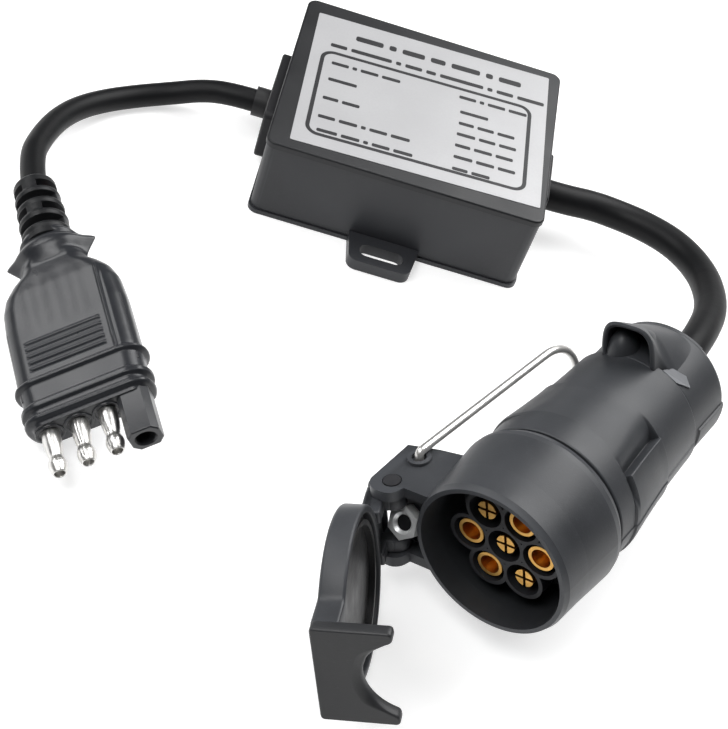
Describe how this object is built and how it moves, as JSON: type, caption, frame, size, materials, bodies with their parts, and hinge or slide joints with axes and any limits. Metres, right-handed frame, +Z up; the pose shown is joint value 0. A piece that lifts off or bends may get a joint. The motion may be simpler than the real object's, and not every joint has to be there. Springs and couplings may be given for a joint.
{
  "type": "trailer wiring connector",
  "caption": "Trailer wiring adapter: converter box with a flat plug on one lead and a round socket with a flip lid and wire bail on the other.",
  "frame": {"origin": "centre of the converter box's flat underside", "axes": "+X along the box towards the seven-way lead, +Y to the back of the box, +Z up"},
  "size_m": [0.1992, 0.2407, 0.056],
  "materials": {
    "case_plastic": "fine moulded texture",
    "case_lid_plastic": "fine moulded texture",
    "label_film": "satin",
    "plate_rubber": "matt",
    "grommet_rubber": "matt",
    "board_laminate": "solder mask",
    "chip_plastic": "moulded",
    "can_sleeve": "shrink sleeve",
    "resistor_body": "lacquer",
    "wire_insulation": "extruded",
    "lead_sheath": "satin",
    "plug_rubber": "satin moulded",
    "terminal_nickel": "nickel plate",
    "socket_plastic": "fine moulded texture",
    "carrier_plastic": "moulded",
    "contact_brass": "turned",
    "gasket_rubber": "matt",
    "bail_steel": "drawn wire",
    "zinc_steel": "zinc plate",
    "pin_steel": "black oxide"
  },
  "bodies": {
    "root": {"box_base": "case_plastic", "box_lid": "case_lid_plastic", "box_label": "label_film", "left_cable_plate": "plate_rubber", "right_cable_plate": "plate_rubber", "left_grommet": "grommet_rubber", "circuit_board": "board_laminate", "output_transistors": "chip_plastic", "capacitors": "can_sleeve", "resistors": "resistor_body", "board_wires_left": "wire_insulation", "board_wires_right": "wire_insulation", "lead_four_way": "lead_sheath", "lead_seven_way": "lead_sheath", "plug_body": "plug_rubber", "plug_core": "carrier_plastic", "plug_wires": "wire_insulation", "bullet_terminal_1": "terminal_nickel", "bullet_terminal_2": "terminal_nickel", "bullet_terminal_3": "terminal_nickel", "sleeve_terminal": "terminal_nickel", "front_shell": "socket_plastic", "contact_carrier": "carrier_plastic", "contact_pin_centre": "contact_brass", "contact_pin_upper": "contact_brass", "contact_pin_lower": "contact_brass", "contact_sleeve_1": "contact_brass", "contact_sleeve_2": "contact_brass", "contact_sleeve_3": "contact_brass", "contact_sleeve_4": "contact_brass", "terminal_screws": "zinc_steel", "socket_wires": "wire_insulation", "seam_gasket": "gasket_rubber", "rear_body": "socket_plastic", "rear_cap": "socket_plastic", "rear_gland": "gasket_rubber", "hex_nut": "zinc_steel", "bracket_screw": "zinc_steel", "hinge_pins": "pin_steel"},
    "lid": {"flip_lid": "socket_plastic", "lid_seal": "gasket_rubber"},
    "bail": {"wire_bail": "bail_steel"}
  },
  "joints": [
    {"name": "lid_hinge", "type": "hinge", "parent": "root", "child": "lid", "pos_m": [0.01496, -0.14112, 0.0181], "axis": [-0.3564, 0.1959, 0.9135], "range_deg": [0, 64]},
    {"name": "bail_pivot", "type": "hinge", "parent": "root", "child": "bail", "pos_m": [0.02043, -0.13306, 0.0185], "axis": [-0.3564, 0.1959, 0.9135], "range_deg": [0, 95]}
  ]
}
